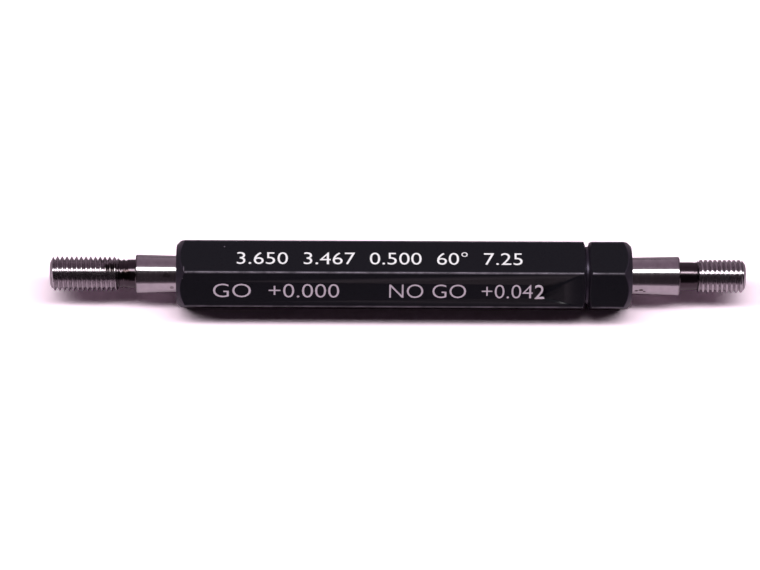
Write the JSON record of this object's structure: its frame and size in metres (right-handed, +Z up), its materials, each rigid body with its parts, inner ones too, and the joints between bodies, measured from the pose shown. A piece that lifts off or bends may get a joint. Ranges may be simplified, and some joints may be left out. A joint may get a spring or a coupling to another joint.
{
  "type": "thread plug gauge",
  "caption": "Double-ended thread plug gauge: hexagonal handle with a long GO thread plug in one end and a short NO GO thread plug in the other, each held by a taper.",
  "frame": {"origin": "middle of the handle's length, on the flat that it lies on", "axes": "+X along the gauge from the GO end to the NO GO end, +Z up, square to the flat that it lies on"},
  "size_m": [0.0734, 0.008, 0.007],
  "materials": {
    "black_anodised_aluminium": "black anodised, satin",
    "ground_tool_steel": "hardened and ground"
  },
  "bodies": {
    "root": {"handle": "black_anodised_aluminium", "go_member": "ground_tool_steel", "nogo_member": "ground_tool_steel"}
  },
  "joints": []
}
